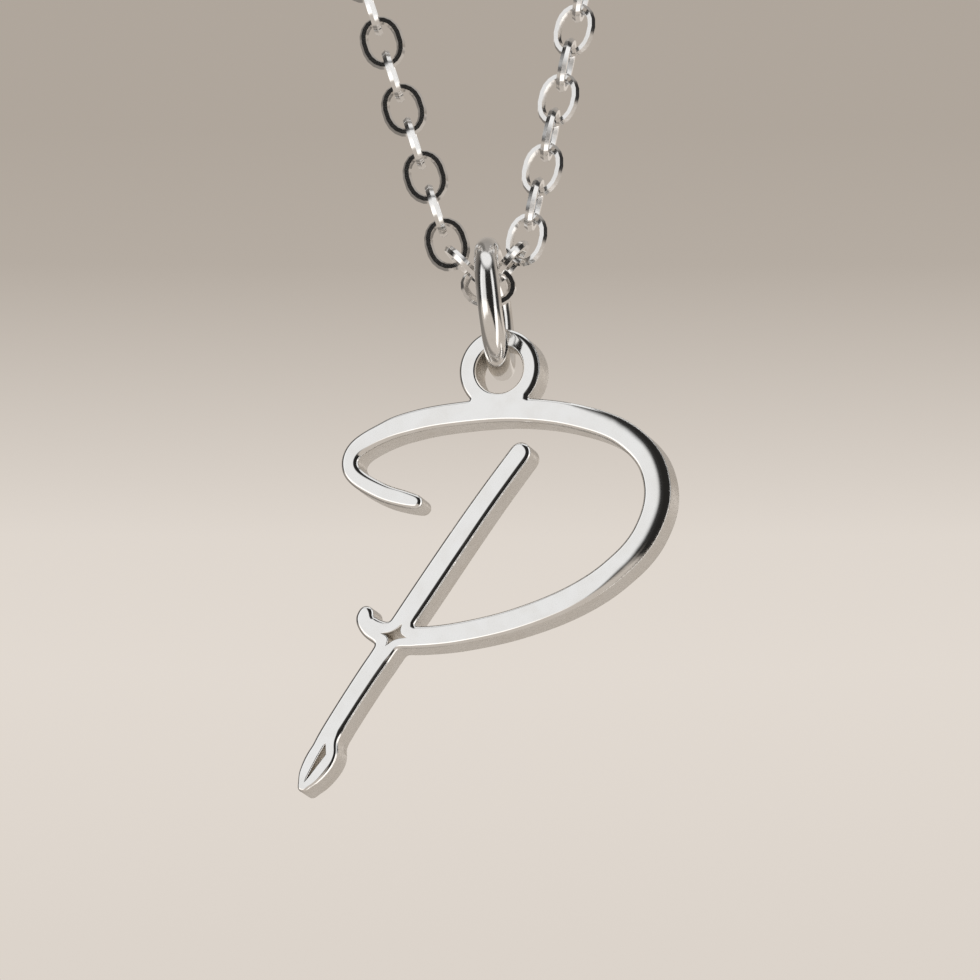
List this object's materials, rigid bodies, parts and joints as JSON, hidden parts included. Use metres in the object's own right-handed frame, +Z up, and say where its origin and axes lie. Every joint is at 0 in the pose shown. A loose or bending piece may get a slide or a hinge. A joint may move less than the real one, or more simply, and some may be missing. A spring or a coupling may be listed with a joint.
{
  "type": "initial pendant necklace",
  "caption": "Pendant necklace: a script capital P of polished silver with an eyelet hangs by a thick round ring from a flat-faced cable chain.",
  "frame": {"origin": "top of the closed chain loop, at the middle of the closed clasp, where the necklace hangs", "axes": "+X to the right as one looks at the letter's face, +Y to the back, +Z up; the letter's face looks to -Y, turned 9.8 degrees towards -X"},
  "size_m": [0.0766, 0.0066, 0.2021],
  "materials": {
    "letter_silver": "mirror-polished silver with a cast grain on the side walls",
    "ring_silver": "polished silver wire",
    "chain_silver": "polished silver links with flat faces",
    "clasp_silver": "polished silver"
  },
  "bodies": {
    "necklace": {"chain": "chain_silver", "end_ring_left": "clasp_silver", "end_ring_right": "clasp_silver", "clasp": "clasp_silver"},
    "bail": {"bail_ring": "ring_silver"},
    "charm": {"letter": "letter_silver"}
  },
  "joints": [
    {"name": "ring_swing", "type": "hinge", "parent": "necklace", "child": "bail", "pos_m": [0.00708, 0, -0.17636], "axis": [0.9951, 0, 0.0993], "range_deg": [-45, 45]},
    {"name": "letter_sway", "type": "hinge", "parent": "bail", "child": "charm", "pos_m": [0.00764, 0, -0.18017], "axis": [-0.1702, -0.9854, 0], "range_deg": [-60, 60]}
  ]
}
